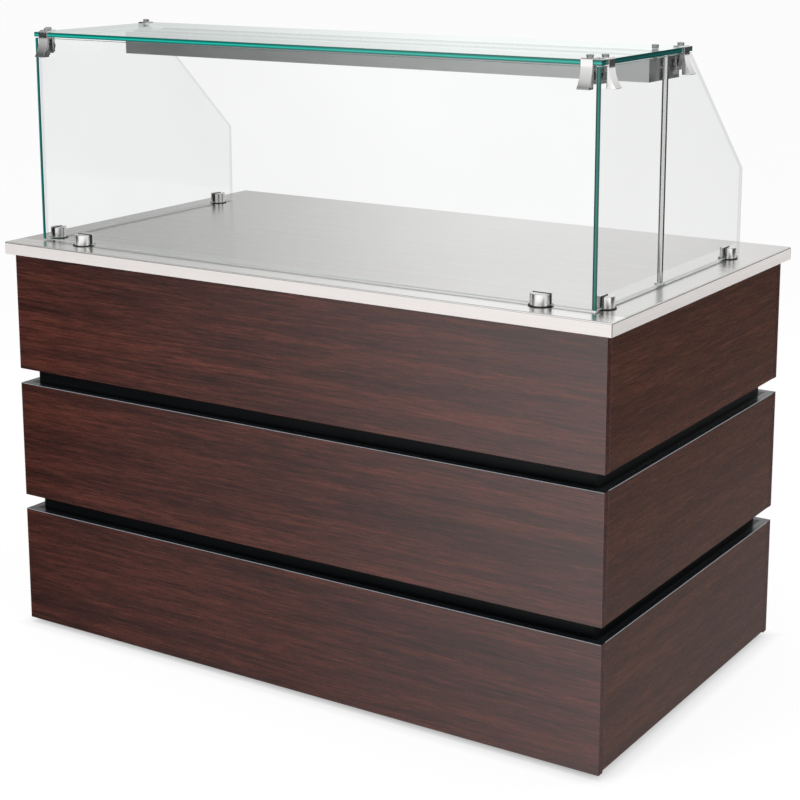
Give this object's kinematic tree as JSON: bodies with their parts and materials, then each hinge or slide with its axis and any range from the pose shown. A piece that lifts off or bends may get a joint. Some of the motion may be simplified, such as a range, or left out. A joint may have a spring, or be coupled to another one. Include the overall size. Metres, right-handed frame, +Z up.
{
  "type": "mobile salad bar",
  "caption": "Mobile salad bar: tiered laminate cabinet on hidden swivel casters with a stainless counter, glass food guard, clamped glass shelf and lamp channel.",
  "frame": {"origin": "on the floor under the centre of the counter top", "axes": "+X to the right end as a guest sees it, +Y to the operator side with the doors, +Z up"},
  "size_m": [1.524, 0.889, 1.393],
  "materials": {
    "steel": "brushed along the length",
    "core": "raw board",
    "board_black": "black laminate, satin",
    "laminate": "dark red-brown wood-grain laminate, satin",
    "inner_board": "light grey melamine",
    "hinge_steel": "satin",
    "catch": "matte",
    "zinc": "zinc plated",
    "tyre": "matte",
    "pedal": "satin black",
    "glass": "clear with green edges",
    "chrome": "polished",
    "housing": "satin",
    "lens": "frosted",
    "lamp": "gloss",
    "bond": "matte"
  },
  "bodies": {
    "cabinet": {"counter_top": "steel", "counter_core": "core", "front_wall": "board_black", "left_wall": "board_black", "right_wall": "board_black", "left_stile": "board_black", "right_stile": "board_black", "rear_rail": "board_black", "front_panel_low": "laminate", "front_panel_mid": "laminate", "front_panel_top": "laminate", "left_panels": "laminate", "right_panels": "laminate", "stile_facings": "laminate", "rear_rail_facing": "laminate", "door_mullion": "inner_board", "base_deck": "inner_board", "shelf": "inner_board", "shelf_cleats": "inner_board", "hinge_leaves": "hinge_steel", "hinge_pins": "hinge_steel", "magnet_catches": "catch", "caster_plates": "zinc", "front_glass": "glass", "left_glass": "glass", "right_glass": "glass", "top_glass": "glass", "front_standoffs": "chrome", "left_standoffs": "chrome", "right_standoffs": "chrome", "front_clamps": "chrome", "left_clamps": "chrome", "right_clamps": "chrome", "clamp_knobs": "chrome", "clamp_caps": "chrome", "housing_bolt": "chrome", "post_foot": "chrome", "lamp_housing": "housing", "lamp_post": "housing", "lamp_lens": "lens", "lamp_strip": "lamp", "bond_strips": "bond", "standoff_rings": "bond"},
    "left_door": {"left_door_board": "board_black", "left_door_facings": "laminate", "left_door_leaves": "hinge_steel"},
    "right_door": {"right_door_board": "board_black", "right_door_facings": "laminate", "right_door_leaves": "hinge_steel"},
    "caster_front_left": {"fork_front_left": "zinc"},
    "wheel_front_left": {"wheel_front_left": "tyre"},
    "caster_front_right": {"fork_front_right": "zinc"},
    "wheel_front_right": {"wheel_front_right": "tyre"},
    "caster_rear_left": {"fork_rear_left": "zinc"},
    "wheel_rear_left": {"wheel_rear_left": "tyre"},
    "caster_rear_right": {"fork_rear_right": "zinc"},
    "wheel_rear_right": {"wheel_rear_right": "tyre"},
    "pedal_rear_left": {"brake_pedal_rear_left": "pedal"},
    "pedal_rear_right": {"brake_pedal_rear_right": "pedal"}
  },
  "joints": [
    {"name": "left_door_hinge", "type": "hinge", "parent": "cabinet", "child": "left_door", "pos_m": [-0.6365, 0.4338, 0.2977], "axis": [0, 0, 1], "range_deg": [0, 105]},
    {"name": "right_door_hinge", "type": "hinge", "parent": "cabinet", "child": "right_door", "pos_m": [0.6365, 0.4338, 0.2977], "axis": [0, 0, -1], "range_deg": [0, 105]},
    {"name": "front_left_swivel", "type": "hinge", "parent": "cabinet", "child": "caster_front_left", "pos_m": [-0.586, -0.2645, 0.113], "axis": [0, 0, 1], "continuous": true},
    {"name": "front_left_wheel_spin", "type": "hinge", "parent": "caster_front_left", "child": "wheel_front_left", "pos_m": [-0.586, -0.2265, 0.05], "axis": [1, 0, 0], "continuous": true},
    {"name": "front_right_swivel", "type": "hinge", "parent": "cabinet", "child": "caster_front_right", "pos_m": [0.586, -0.2645, 0.113], "axis": [0, 0, 1], "continuous": true},
    {"name": "front_right_wheel_spin", "type": "hinge", "parent": "caster_front_right", "child": "wheel_front_right", "pos_m": [0.586, -0.2265, 0.05], "axis": [1, 0, 0], "continuous": true},
    {"name": "rear_left_swivel", "type": "hinge", "parent": "cabinet", "child": "caster_rear_left", "pos_m": [-0.586, 0.2645, 0.113], "axis": [0, 0, 1], "continuous": true},
    {"name": "rear_left_wheel_spin", "type": "hinge", "parent": "caster_rear_left", "child": "wheel_rear_left", "pos_m": [-0.586, 0.3025, 0.05], "axis": [1, 0, 0], "continuous": true},
    {"name": "rear_left_brake_pedal", "type": "hinge", "parent": "caster_rear_left", "child": "pedal_rear_left", "pos_m": [-0.586, 0.3225, 0.10402], "axis": [1, 0, 0], "range_deg": [0, 20]},
    {"name": "rear_right_swivel", "type": "hinge", "parent": "cabinet", "child": "caster_rear_right", "pos_m": [0.586, 0.2645, 0.113], "axis": [0, 0, 1], "continuous": true},
    {"name": "rear_right_wheel_spin", "type": "hinge", "parent": "caster_rear_right", "child": "wheel_rear_right", "pos_m": [0.586, 0.3025, 0.05], "axis": [1, 0, 0], "continuous": true},
    {"name": "rear_right_brake_pedal", "type": "hinge", "parent": "caster_rear_right", "child": "pedal_rear_right", "pos_m": [0.586, 0.3225, 0.10402], "axis": [1, 0, 0], "range_deg": [0, 20]}
  ]
}
